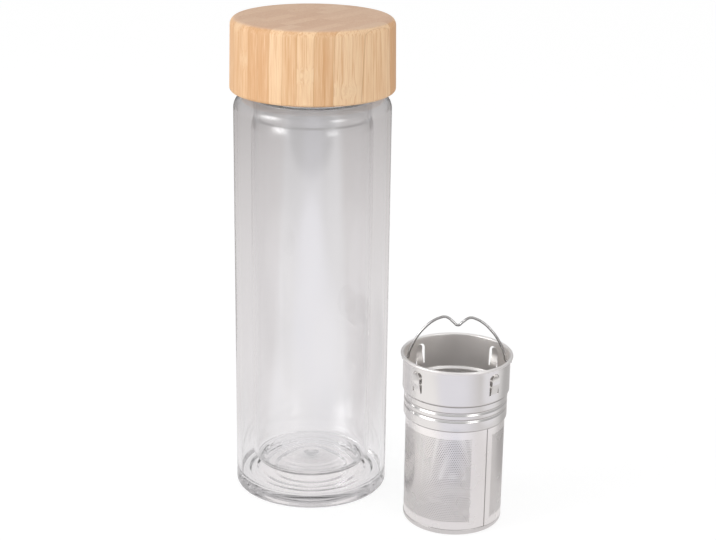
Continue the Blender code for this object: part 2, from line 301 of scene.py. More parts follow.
def ramp(tree, share, low, high, strength=1.0, kind="SMOOTHSTEP"):
    values = {"Value": share, "From Min": low, "From Max": high, "To Max": strength}
    return addNode(tree, "MapRange", values, interpolation_type=kind).outputs[0]


def bumpFrom(tree, height, strength, distance):
    values = {"Height": height, "Strength": strength, "Distance": distance}
    return addNode(tree, "Bump", values).outputs["Normal"]


def objectPlaces(tree):
    return addNode(tree, "TexCoord").outputs["Object"]


def newFinish(name, colour, roughness=0.5, metallic=0.0):
    finish = bpy.data.materials.new(name)
    finish.use_nodes = True
    tree = finish.node_tree
    shader = tree.nodes["Principled BSDF"]
    feed(tree, shader, {"Base Color": (*colour, 1), "Roughness": roughness, "Metallic": metallic})
    return finish, tree, shader


def mixSurface(tree, share, first, second):
    shaders = {0: share, 1: first.outputs[0], 2: second.outputs[0]}
    mixed = addNode(tree, "MixShader", shaders)
    feed(tree, tree.nodes["Material Output"], {"Surface": mixed.outputs[0]})


def newGroup(name, inputs, outputs):
    group = bpy.data.node_groups.new(name, "ShaderNodeTree")
    for label, value in inputs.items():
        kind = "NodeSocketVector" if isinstance(value, tuple) else "NodeSocketFloat"
        socket = group.interface.new_socket(label, in_out="INPUT", socket_type=kind)
        socket.default_value = value
    for label in outputs:
        group.interface.new_socket(label, in_out="OUTPUT", socket_type="NodeSocketFloat")
    given, result = (group.nodes.new("NodeGroup" + end) for end in ("Input", "Output"))
    return group, given.outputs, result


sharedNoise = {
    # Scale, detail and roughness
    "coarseLines": (1.0, 4.0, 0.65),
    "fineLines": (3.7, 2.0, 0.5),
    "coarseShare": 0.6,
    "fineShare": 0.4,
    "smudgeDetail": 5.0,
    "smudgeRange": (0.42, 0.72),
    "mottleDetail": 4.0,
    "mottleRange": (0.35, 0.65),
}


def makeMetalGrain():
    # Fine drawn lines along one direction, and broad smudges that dull the shine
    inputs = {"Place": (0, 0, 0), "Lines": (1, 1, 1), "Smudges": 60.0}
    group, given, result = newGroup("metalGrain", inputs, ("Height", "Smudge"))
    lines = stretched(group, given["Place"], given["Lines"])
    coarse = noise(group, lines, *sharedNoise["coarseLines"])
    fine = noise(group, lines, *sharedNoise["fineLines"])
    height = compute(group, "MULTIPLY", coarse, sharedNoise["coarseShare"])
    height = compute(group, "MULTIPLY_ADD", fine, sharedNoise["fineShare"], height)
    smudge = noise(group, given["Place"], given["Smudges"], sharedNoise["smudgeDetail"])
    smudge = ramp(group, smudge, *sharedNoise["smudgeRange"])
    feed(group, result, {"Height": height, "Smudge": smudge})
    return group


def makeMottle():
    # Soft colour drift, as in a moulded or grown material
    group, given, result = newGroup("softMottle", {"Place": (0, 0, 0), "Scale": 90.0}, ("Fac",))
    cloud = noise(group, given["Place"], given["Scale"], sharedNoise["mottleDetail"])
    feed(group, result, {"Fac": ramp(group, cloud, *sharedNoise["mottleRange"])})
    return group


metalGrain = makeMetalGrain()
softMottle = makeMottle()


# Screw thread of the neck and of the liner

thread = {
    "pitch": 0.004,
    "rootHalf": 0.0012,
    "crestHalf": 0.0006,
    "fade": 0.12,
    "tolerance": 0.00002,
    "rowGap": 0.0002,
    "neckStart": 0.1842,
    "neckTurns": 1.5,
    "linerTurns": 1.25,
    "depth": 0.0012,
}


def raiseThread(piece, radius, start, turns, height):
    # Pushes the wall out into a helical ridge that fades at both ends
    for vertex in piece.data.vertices:
        flat = Vector((vertex.co.x, vertex.co.y))
        if abs(flat.length - radius) > thread["tolerance"]:
            continue
        share = (math.atan2(flat.y, flat.x) / math.tau) % 1
        rise = 0
        for turned in (share, share + 1):
            if turned > turns:
                continue
            away = abs(vertex.co.z - start - turned * thread["pitch"])
            slope = (thread["rootHalf"] - away) / (thread["rootHalf"] - thread["crestHalf"])
            fade = min(1, turned / thread["fade"], (turns - turned) / thread["fade"])
            rise = max(rise, min(1, max(0, slope)) * math.sin(fade * math.pi / 2))
        rise = rise * rise * (3 - 2 * rise)
        flat *= 1 + height * rise / radius
        vertex.co.x, vertex.co.y = flat


# Double-walled glass body

glass = {
    "steps": 180,
    "wall": 0.0017,
    "footThickness": 0.0052,
    "footRounding": 0.0019,
    "footInnerRounding": 0.0034,
    "shoulderDrop": 0.001,
    "shoulderRounding": 0.0062,
    "shoulderInnerRounding": 0.0049,
    "shoulderThickness": 0.0013,
    "neckFillet": 0.0009,
    "flaskRadius": 0.026,
    "flaskWall": 0.0017,
    "flaskLift": 0.0105,
    "flaskFloor": 0.0021,
    "flaskRounding": 0.0062,
    "floorRounding": 0.0034,
    # Each ring's radius and half width, from the outside in
    "floorRipple": 0.00007,
    "floorRings": ((0.0205, 0.0012), (0.015, 0.0016)),
    "floorDome": 0.0004,
    "footRipple": 0.00046,
    "footRings": ((0.028, 0.001), (0.0248, 0.0012), (0.021, 0.0014), (0.0165, 0.0016)),
    # Corners under the foot: radius, height and rounding
    "recess": (0.0225, 0.0012, 0.005),
    "stand": (0.03, 0, 0.002),
    "nubRadius": 0.0034,
    "nubHeight": 0.0011,
    "neckRadius": 0.025,
    "neckWall": 0.0019,
    # Heights and roundings of the taper between flask and neck
    "taperTop": (0.1676, 0.003),
    "taperBase": (0.1649, 0.013),
    "lipRounding": 0.0008,
    "colour": (0.995, 0.994, 0.996),
    "roughness": 0.0,
    "index": 1.47,
    "depthColour": (0.34, 0.3, 0.31, 1),
    "depthDensity": 7.0,
    "shadowTint": (0.93, 0.94, 0.94, 1),
    "waveScale": (46.0, 46.0, 9.0),
    "waveNoise": (1.0, 1.0, 0.4),
    "waveDepth": 0.00006,
}


def makeGlassFinish():
    finish, tree, shader = newFinish("clearGlass", glass["colour"], glass["roughness"])
    waves = stretched(tree, objectPlaces(tree), glass["waveScale"])
    bump = bumpFrom(tree, noise(tree, waves, *glass["waveNoise"]), 1.0, glass["waveDepth"])
    feed(tree, shader, {"IOR": glass["index"], "Transmission Weight": 1.0, "Normal": bump})
    # Lamps shine through glass, so its shadow stays as light as real glass leaves it
    shadow = addNode(tree, "LightPath").outputs["Is Shadow Ray"]
    clear = addNode(tree, "BsdfTransparent", {"Color": glass["shadowTint"]})
    mixSurface(tree, shadow, shader, clear)
    # The glass is greyer where light runs through more of it, as at the edges and in the foot
    values = {"Color": glass["depthColour"], "Density": glass["depthDensity"]}
    depth = addNode(tree, "VolumeAbsorption", values)
    feed(tree, tree.nodes["Material Output"], {"Volume": depth.outputs[0]})
    return finish


def ripples(rings, height, base):
    # Low rings left in blown glass
    corners = []
    for reach, half in rings:
        corners += [
            (reach + half, base, half),
            (reach, base + height, half),
            (reach - half, base, half),
        ]
    return corners


def makeGlassBody():
    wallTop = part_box("outer_wall")[1]
    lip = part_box("inner_flask")[1].z
    radius, shoulder = wallTop.x, wallTop.z - glass["shoulderDrop"]
    neck, flask, nub = glass["neckRadius"], glass["flaskRadius"], glass["nubRadius"]
    bore = neck - glass["neckWall"]
    inside = flask - glass["flaskWall"]
    floor = glass["flaskLift"] + glass["flaskFloor"]
    threadLow = thread["neckStart"] - thread["pitch"]
    threadHigh = thread["neckStart"] + (thread["neckTurns"] + 1) * thread["pitch"]
    body = turnCorners("glass_body", glass["steps"], (
        (0, glass["recess"][1]),
        glass["recess"],
        glass["stand"],
        (radius, 0, glass["footRounding"]),
        (radius, shoulder, glass["shoulderRounding"]),
        (neck, shoulder, glass["neckFillet"]),
        (neck, threadLow),
        *evenRun(neck, threadLow, threadHigh, thread["rowGap"]),
        (neck, threadHigh),
        (neck, lip, glass["lipRounding"]),
        (bore, lip, glass["lipRounding"]),
        (bore, *glass["taperTop"]),
        (inside, *glass["taperBase"]),
        (inside, floor, glass["floorRounding"]),
        *ripples(glass["floorRings"], glass["floorRipple"], floor),
        (nub, floor + glass["floorDome"], nub / 2),
        (nub / 2, floor + glass["nubHeight"], nub / 2),
        (0, floor + glass["nubHeight"]),
    ))
    raiseThread(body, neck, thread["neckStart"], thread["neckTurns"], thread["depth"])

    foot = glass["footThickness"]
    wallInside = radius - glass["wall"]
    under = shoulder - glass["shoulderThickness"]
    gap = turnCorners("glass_gap", glass["steps"], (
        (0, foot),
        *reversed(ripples(glass["footRings"], glass["footRipple"], foot)),
        (wallInside, foot, glass["footInnerRounding"]),
        (wallInside, under, glass["shoulderInnerRounding"]),
        (neck, under, glass["neckFillet"]),
        (neck, *glass["taperTop"]),
        (flask, *glass["taperBase"]),
        (flask, glass["flaskLift"], glass["flaskRounding"]),
        (0, glass["flaskLift"]),
    ), inside=True)
    pickOnly(body)
    gap.select_set(True)
    bpy.ops.object.join()
    smoothShade(body, 40)
    dress(body, "bottle", "glass", makeGlassFinish(), "outer_wall", "inner_flask")


# Turned bamboo lid

lid = {
    "steps": 192,
    "topRounding": 0.003,
    "taper": 0.00055,
    "footRounding": 0.0014,
    "boreRadius": 0.0287,
    "ceiling": 0.2003,
    "boreRounding": 0.0004,
    # Strips in millimetres, and the glue as a share of a strip's width and length
    "stripTurn": math.radians(52),
    "stripWidth": 5.6,
    "stripLength": 19.0,
    "glueWidths": (0.03, 0.01),
    "glueShare": 0.35,
    "paleStrip": (0.985, 0.69, 0.425, 1),
    "darkStrip": (0.76, 0.435, 0.215, 1),
    "fibreTone": (0.7, 0.345, 0.14, 1),
    "hairTone": (1.0, 0.76, 0.5, 1),
    "glueTone": (0.56, 0.3, 0.14, 1),
    # The cane's nodes: how deep the lowest sits, how far they spread, and how they bend fibres
    "nodeDepth": 0.026,
    "nodeSpread": 46.0,
    "nodeWidth": 2.6,
    "nodeWave": 1.1,
    "wavesPerStrip": 9.0,
    "nodeShare": 0.3,
    # Fibre noises: scales, detail and roughness
    "noises": {
        "broad": ((0.55, 0.55, 0.012), 2.0, 0.5),
        "streak": ((1.3, 1.3, 0.022), 3.0, 0.62),
        "hair": ((3.6, 3.6, 0.045), 2.0, 0.6),
    },
    "noiseShift": (40, 40, 40),
    "toneShare": 0.62,
    "broadShare": 0.55,
    "stripRange": (0.2, 0.95),
    # Noise, the range over which it shows, its share, and its tone
    "fibres": (
        ("streak", 0.47, 0.66, 0.5, "fibreTone"),
        ("hair", 0.5, 0.7, 0.36, "fibreTone"),
        ("hair", 0.46, 0.3, 0.45, "hairTone"),
    ),
    "endGrainTone": (0.71, 0.485, 0.365, 1),
    "endGrainDepth": (0.0008, 0.0001),
    "endGrainShare": 0.58,
    "roughRange": (-0.5, 1.6),
    "hairRise": 0.5,
    "bump": (0.5, 0.00006),
}


def makeBambooFinish(top):
    finish, tree, shader = newFinish("laminatedBamboo", lid["paleStrip"][:3])
    places = objectPlaces(tree)
    inMillimetres = stretched(tree, places, (1000, 1000, 1000))
    values = {"Vector": inMillimetres, "Rotation": (0, 0, -lid["stripTurn"])}
    axes = splitAxes(tree, addNode(tree, "Mapping", values).outputs[0])

    # Strips of bamboo are glued side by side, and every strip stands on end
    across = compute(tree, "DIVIDE", axes["Y"], lid["stripWidth"])
    row = compute(tree, "FLOOR", across)
    rowTone = addNode(tree, "TexWhiteNoise", {"W": row}, noise_dimensions="1D")
    along = compute(tree, "DIVIDE", axes["X"], lid["stripLength"])
    along = compute(tree, "ADD", along, rowTone.outputs["Value"])
    cell = joinAxes(tree, row, compute(tree, "FLOOR", along), 0.5)
    tone = addNode(tree, "TexWhiteNoise", {"Vector": cell}).outputs

    # A node of the cane bends the fibres of a strip apart at one height
    rise = splitAxes(tree, inMillimetres)["Z"]
    lowest = (top - lid["nodeDepth"]) * 1000
    spread = splitAxes(tree, tone["Color"])["Y"]
    nodeAt = compute(tree, "MULTIPLY_ADD", spread, lid["nodeSpread"], lowest)
    away = compute(tree, "SUBTRACT", rise, nodeAt)
    away = compute(tree, "POWER", compute(tree, "DIVIDE", away, lid["nodeWidth"]), 2.0)
    node = compute(tree, "EXPONENT", compute(tree, "MULTIPLY", away, -1.0))
    wave = compute(tree, "SINE", compute(tree, "MULTIPLY", across, lid["wavesPerStrip"]))
    wave = compute(tree, "MULTIPLY", wave, node)
    bend = compute(tree, "MULTIPLY", wave, lid["nodeWave"])
    bent = onVectors(tree, "ADD", inMillimetres, joinAxes(tree, bend, bend))[0]

    # Fibres run up the lid, so the top shows their ends
    shift = stretched(tree, tone["Color"], lid["noiseShift"])
    fibres = {}
    for name, (scales, detail, roughness) in lid["noises"].items():
        fibres[name] = noise(tree, stretched(tree, bent, scales, shift), 1.0, detail, roughness)
    share = compute(tree, "MULTIPLY", fibres["broad"], lid["broadShare"])
    share = compute(tree, "MULTIPLY_ADD", tone["Value"], lid["toneShare"], share)
    share = ramp(tree, share, *lid["stripRange"])
    colour = blend(tree, share, lid["paleStrip"], lid["darkStrip"])
    for name, low, high, strength, shade in lid["fibres"]:
        share = ramp(tree, fibres[name], low, high, strength)
        colour = blend(tree, share, colour, lid[shade])
    share = compute(tree, "MULTIPLY", node, lid["nodeShare"])
    colour = blend(tree, share, colour, lid["hairTone"])

    seams = [
        compute(tree, "LESS_THAN", compute(tree, "PINGPONG", place, 0.5), width / 2)
        for place, width in zip((across, along), lid["glueWidths"])
    ]
    share = compute(tree, "MULTIPLY", compute(tree, "MAXIMUM", *seams), lid["glueShare"])
    colour = blend(tree, share, colour, lid["glueTone"])

    height = splitAxes(tree, places)["Z"]
    edges = [top - depth for depth in lid["endGrainDepth"]]
    share = ramp(tree, height, *edges, lid["endGrainShare"])
    grain = compute(tree, "MULTIPLY_ADD", fibres["hair"], lid["hairRise"], fibres["streak"])
    feed(tree, shader, {
        "Base Color": blend(tree, share, colour, lid["endGrainTone"]),
        "Roughness": ramp(tree, fibres["streak"], *lid["roughRange"], kind="LINEAR"),
        "Normal": bumpFrom(tree, grain, *lid["bump"]),
    })
    return finish


def makeBambooLid():
    low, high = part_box("bamboo_cap")
    piece = turnCorners("bamboo_lid", lid["steps"], (
        (0, high.z),
        (high.x - lid["taper"], high.z, lid["topRounding"]),
        (high.x, low.z, lid["footRounding"]),
        (lid["boreRadius"], low.z, lid["boreRounding"]),
        (lid["boreRadius"], lid["ceiling"], lid["boreRounding"]),
        (0, lid["ceiling"]),
    ))
    smoothShade(piece, 40)
    dress(piece, "cap", "bamboo", makeBambooFinish(high.z), "bamboo_cap")


# Threaded plastic liner and the silicone ring inside the lid

liner = {
    "steps": 144,
    "bore": 0.02655,
    "lead": 0.001,
    "ceiling": 0.1982,
    "rounding": 0.0006,
    "gateRadius": 0.0016,
    "gateDepth": 0.0004,
    "colour": (0.93, 0.94, 0.93),
    "shade": (0.88, 0.88, 0.86, 1),
    "roughness": 0.42,
    "driftScale": 120.0,
    "driftShare": 0.5,
    "softness": 0.1,
    "softReach": (0.002, 0.002, 0.0016),
    # Scale, strength and depth
    "pits": (2600.0, 0.15, 0.00002),
}

seal = {
    "steps": 144,
    "rounding": 0.0006,
    "grooveDepth": 0.00025,
    "colour": (0.8, 0.82, 0.82),
    "shade": (0.7, 0.73, 0.74, 1),
    "roughness": 0.55,
    "driftScale": 200.0,
    "driftShare": 1.0,
    "softness": 0.3,
    "softReach": (0.003, 0.003, 0.003),
}


def makeSoftFinish(name, soft):
    finish, tree, shader = newFinish(name, soft["colour"], soft["roughness"])
    places = objectPlaces(tree)
    values = {"Place": places, "Scale": soft["driftScale"]}
    drift = addNode(tree, "Group", values, node_tree=softMottle).outputs["Fac"]
    share = compute(tree, "MULTIPLY", drift, soft["driftShare"])
    feed(tree, shader, {
        "Base Color": blend(tree, share, (*soft["colour"], 1), soft["shade"]),
        "Subsurface Weight": soft["softness"],
        "Subsurface Radius": soft["softReach"],
    })
    if "pits" in soft:
        scale, strength, depth = soft["pits"]
        bump = bumpFrom(tree, noise(tree, places, scale), strength, depth)
        feed(tree, shader, {"Normal": bump})
    return finish


def makeLiner():
    low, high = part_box("cap_liner")
    bore, ceiling = liner["bore"], liner["ceiling"]
    start = thread["neckStart"] - thread["pitch"] / 2
    threadLow = low.z + liner["lead"]
    threadHigh = start + (thread["linerTurns"] + 1) * thread["pitch"]
    piece = turnCorners("lid_liner", liner["steps"], (
        (0, high.z),
        (high.x, high.z, liner["rounding"]),
        (high.x, low.z, liner["rounding"]),
        (bore, low.z, liner["rounding"]),
        (bore, threadLow),
        *evenRun(bore, threadLow, threadHigh, thread["rowGap"]),
        (bore, threadHigh),
        (bore, ceiling, liner["rounding"] / 2),
        (liner["gateRadius"], ceiling),
        (liner["gateRadius"], ceiling + liner["gateDepth"]),
        (0, ceiling + liner["gateDepth"]),
    ))
    raiseThread(piece, bore, start, thread["linerTurns"], -thread["depth"])
    smoothShade(piece)
    dress(piece, "cap", "liner_plastic", makeSoftFinish("mouldedPlastic", liner), "cap_liner")


def makeSeal():
    low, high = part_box("cap_seal")
    outside, inside = high.x, glass["neckRadius"] - glass["neckWall"]
    middle = (outside + inside) / 2
    ring = turnCorners("lid_seal", seal["steps"], (
        (outside, high.z, seal["rounding"]),
        (outside, low.z, seal["rounding"]),
        (middle, low.z + seal["grooveDepth"], seal["rounding"]),
        (inside, low.z, seal["rounding"]),
        (inside, high.z, seal["rounding"]),
    ), closed=True)
    smoothShade(ring, 50)
    dress(ring, "seal", "silicone", makeSoftFinish("clearSilicone", seal), "cap_seal")


# Infuser: it stands where its base stands, turned as the handle's pivots lie

swing = next(joint for joint in frame["joints"] if joint["name"] == "handle_swing")
pivot = Vector(swing["pos_m"])
infuserTurn = math.atan2(swing["axis"][1], swing["axis"][0])
infuserPlace = Vector((pivot.x, pivot.y, 0))


def moveInto(piece, place):
    piece.location = place
    piece.rotation_euler.z = infuserTurn
    applyPlace(piece)


# Tone of the painted shade in the steel's creases
creaseShadeTone = (0.1, 0.085, 0.08, 1)
smudgeShare = 0.6


def makeSteelFinish(name, steel):
    finish, tree, shader = newFinish(name, steel["colour"], steel["roughness"], 1.0)
    places = objectPlaces(tree)
    values = {"Place": places, "Lines": steel["lines"], "Smudges": steel["smudges"]}
    grain = addNode(tree, "Group", values, node_tree=metalGrain).outputs
    smudge = grain["Smudge"]
    share = compute(tree, "MULTIPLY", smudge, smudgeShare)
    colour = blend(tree, share, (*steel["colour"], 1), steel["dulled"])
    # Painted shade: dark lines where two sheets meet and where one is bent sharply, standing in for
    # the shadow that falls into these creases
    height = splitAxes(tree, places)["Z"]
    for at, half, strength in steel.get("creaseShades", ()):
        away = compute(tree, "ABSOLUTE", compute(tree, "SUBTRACT", height, at))
        colour = blend(tree, ramp(tree, away, half, 0.0, strength), colour, creaseShadeTone)
    feed(tree, shader, {
        "Base Color": colour,
        "Roughness": compute(tree, "MULTIPLY_ADD", smudge, steel["dulling"], steel["roughness"]),
        "Normal": bumpFrom(tree, grain["Height"], 1.0, steel["lineDepth"]),
    })
    return finish


collar = {
    "sheet": 0.0004,
    "tabSteps": 14,
    "betweenSteps": 40,
    "skirtRadius": 0.02185,
    "wallRadius": 0.02255,
    # Height and rounding of the step's two corners
    "stepFoot": (0.059, 0.0006),
    "stepTop": (0.06, 0.0005),
    "grooves": (0.052796, 0.055799),
    "grooveDepth": 0.0006,
    "grooveHalf": 0.0009,
    "grooveRounding": 0.001,
    "grooveEdge": 0.0005,
    "footCurl": 0.00026,
    "curlHeight": 0.00039,
    "curlRounding": 0.0003,
    "rimBend": 0.0007,
    "rimRadius": 0.024,
    "rimDrop": 0.0012,
    "rimTuck": 0.00065,
    "rimGap": 0.0002,
    "tabFoot": 0.06287,
    "tabHeight": 0.0092,
    "tabWidth": 0.0053,
    "tabRounding": 0.0021,
    "slitWidth": 0.00075,
    "cutterReach": 0.002,
    "tabBulge": 0.00115,
    "bulgeAt": 0.62,
    "bulgeKept": 0.6,
    "rowGap": 0.0004,
    "holeRadius": 0.0009,
    "drillSides": 32,
    "drillLength": 0.06,
    "colour": (0.83, 0.815, 0.8),
    "dulled": (0.8, 0.785, 0.77, 1),
    "roughness": 0.13,
    "dulling": 0.03,
    "lines": (60.0, 60.0, 5200.0),
    "smudges": 40.0,
    "lineDepth": 0.0000012,
    # Painted shade in the step's crease, at the foot edge and beside the grooves: height, half
    # width and strength of each
    "creaseShades": (
        (0.0592, 0.0006, 0.7),
        (0.048, 0.0003, 0.6),
        (0.0562, 0.0004, 0.5),
        (0.0532, 0.0004, 0.5),
    ),
}

# Painted light: the inside of the collar is a paler copy of its steel, lightening the inside, which
# lies in shade
collarLitInside = {
    "colour": (0.95, 0.925, 0.905),
    "dulled": (0.91, 0.885, 0.865, 1),
    "roughness": 0.42,
    "dulling": 0.05,
    "lines": (60.0, 60.0, 3800.0),
    "smudges": 40.0,
    "lineDepth": 0.000002,
}


def collarOutline(foot, top):
    # The inside face of the sheet: up the wall, over the rim and down to the tucked edge
    sheet, curl, half = collar["sheet"], collar["footCurl"], collar["grooveHalf"]
    skirt = collar["skirtRadius"] - sheet
    wall = collar["wallRadius"] - sheet
    rim = collar["rimRadius"] - sheet
    corners = [(skirt - curl, foot), (skirt, foot + collar["curlHeight"], collar["curlRounding"])]
    for groove in collar["grooves"]:
        corners += [
            (skirt, groove - half, collar["grooveEdge"]),
            (skirt - collar["grooveDepth"], groove, collar["grooveRounding"]),
            (skirt, groove + half, collar["grooveEdge"]),
        ]
    corners += [(skirt, *collar["stepFoot"]), (wall, *collar["stepTop"]), (wall, collar["tabFoot"])]
    outline = roundCorners(corners, arcStep=math.radians(8))
    tabTop = collar["tabFoot"] + collar["tabHeight"]
    outline += evenRun(wall, collar["tabFoot"], tabTop, collar["rowGap"])
    tucked = wall + sheet + collar["rimGap"]
    under = top - collar["rimDrop"]
    return outline + roundCorners((
        (wall, tabTop),
        (wall, top, collar["rimBend"]),
        (rim, top, collar["rimDrop"] / 2),
        (rim, under, collar["rimDrop"] / 2),
        (tucked, under, collar["rimTuck"] / 2),
        (tucked, under + collar["rimTuck"]),
    ), arcStep=math.radians(15))


def slitLine():
    # Half the width and the top of the middle line of the slit around a tab
    half = (collar["tabWidth"] - collar["slitWidth"]) / 2
    return half, collar["tabFoot"] + collar["tabHeight"] - collar["slitWidth"] / 2


def makeTabCutters():
    # A bent strip as wide as the slit, up one side of a tab, over its top and down the other side
    half, top = slitLine()
    path = roundCorners((
        (-half, collar["tabFoot"]),
        (-half, top, collar["tabRounding"]),
        (half, top, collar["tabRounding"]),
        (half, collar["tabFoot"]),
    ), arcStep=math.radians(15))
    cutter = drawOutline("tabCutter", path)
    pickAll()
    shiftPicked(0, collar["skirtRadius"] - collar["cutterReach"], 0)
    extrudePicked(0, 2 * collar["cutterReach"], 0)
    objectMode()
    thicken(cutter, collar["slitWidth"], offset=0, otherSide=0)
    cutter.rotation_euler.z = math.pi / 4
    for quarter in range(3):
        pickOnly(cutter)
        bpy.ops.object.duplicate()
        bpy.context.object.rotation_euler.z += (quarter + 1) * math.pi / 2
    bpy.ops.object.select_pattern(pattern="tabCutter*")
    bpy.ops.object.join()
    cutters = bpy.context.object
    applyPlace(cutters)
    editMode()
    weldAll()
    return cutters


def makeCollar():
    low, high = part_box("infuser_collar")
    piece = drawOutline("infuser_collar_band", collarOutline(low.z, high.z))
    pickAll()
    tab = collar["tabWidth"] / collar["wallRadius"]
    between = math.pi / 2 - tab
    # The outline starts on +X, half way between two tabs
    turns = [(between / 2, collar["betweenSteps"] // 2)]
    for share in (1, 1, 1, 0.5):
        steps = round(collar["betweenSteps"] * share)
        turns += [(tab, collar["tabSteps"]), (between * share, steps)]
    for angle, steps in turns:
        spinPicked(steps, angle)
    weldAll()
    faceSheet(piece, "in")
    # The inside takes the paler painted-light copy of the steel, the outside the polished steel
    piece.data.materials.append(makeSteelFinish("satinSteelLitInside", collarLitInside))
    piece.data.materials.append(makeSteelFinish("polishedSteel", collar))
    thicken(piece, collar["sheet"])
    cutAway(piece, makeTabCutters())

    # Every vertex inside a slit's middle line belongs to the tab, which springs outwards
    half, top = slitLine()
    peak, rounding = collar["bulgeAt"], collar["tabRounding"]
    for vertex in piece.data.vertices:
        angle = math.atan2(vertex.co.y, vertex.co.x) % (math.pi / 2) - math.pi / 4
        across = abs(angle) * vertex.co.xy.length
        up = (vertex.co.z - collar["tabFoot"]) / (top - collar["tabFoot"])
        corner = Vector((across - half, vertex.co.z - top)) + Vector((1, 1)) * rounding
        beyond = min(corner) > 0 and corner.length > rounding
        if across < half and 0 < up < 1 and not beyond:
            climb = min(1, up / peak)
            fall = max(0, up - peak) / (1 - peak)
            bulge = climb * climb * (3 - 2 * climb)
            bulge *= 1 - (1 - collar["bulgeKept"]) * fall * fall
            vertex.co.xy *= 1 + collar["tabBulge"] * bulge / vertex.co.xy.length

    bpy.ops.mesh.primitive_cylinder_add(
        vertices=collar["drillSides"],
        radius=collar["holeRadius"],
        depth=collar["drillLength"],
        location=(0, 0, pivot.z),
        rotation=(0, math.pi / 2, 0),
    )
    cutAway(piece, bpy.context.object)
    smoothShade(piece, 40)
    moveInto(piece, infuserPlace)
    dress(piece, "infuser", "polished_steel", None, "infuser_collar")


basket = {
    "sheet": 0.00025,
    "lapGap": 0.00003,
    "holePitch": 0.00093,
    "rowPitch": 0.000807,
    "holeSide": 0.000295,
    "firstRow": 0.0066,
    "rows": 47,
    # Pitches from the lattice's ends: where the holes begin, and where it is trimmed
    "holesFrom": 1.25,
    "trimAt": 1.05,
    "trimTolerance": 0.00001 * mm,
    "edgeTolerance": 0.0002 * mm,
    "seam": math.radians(41.5),
    "outerMargin": math.radians(7),
    "innerMargin": math.radians(32),
    "lap": math.radians(12),
    "footGap": 0.0001,
    "colour": (0.97, 0.945, 0.93),
    "dulled": (0.93, 0.905, 0.885, 1),
    "roughness": 0.22,
    "dulling": 0.1,
    "lines": (2600.0, 2600.0, 45.0),
    "smudges": 70.0,
    "lineDepth": 0.0000025,
    # Painted shade on the basket just under the collar's edge: height, half width and strength
    "creaseShades": ((0.0477, 0.0005, 0.75),),
}

# Painted shade: the inside of the sheet is a darker copy of the same steel, standing in for the
# shade inside the basket
basketShadedInside = {
    "colour": (0.46, 0.44, 0.425),
    "dulled": (0.41, 0.39, 0.375, 1),
    "roughness": 0.38,
    "dulling": 0.1,
    "lines": (1500.0, 1500.0, 60.0),
    "smudges": 70.0,
    "lineDepth": 0.0000025,
}


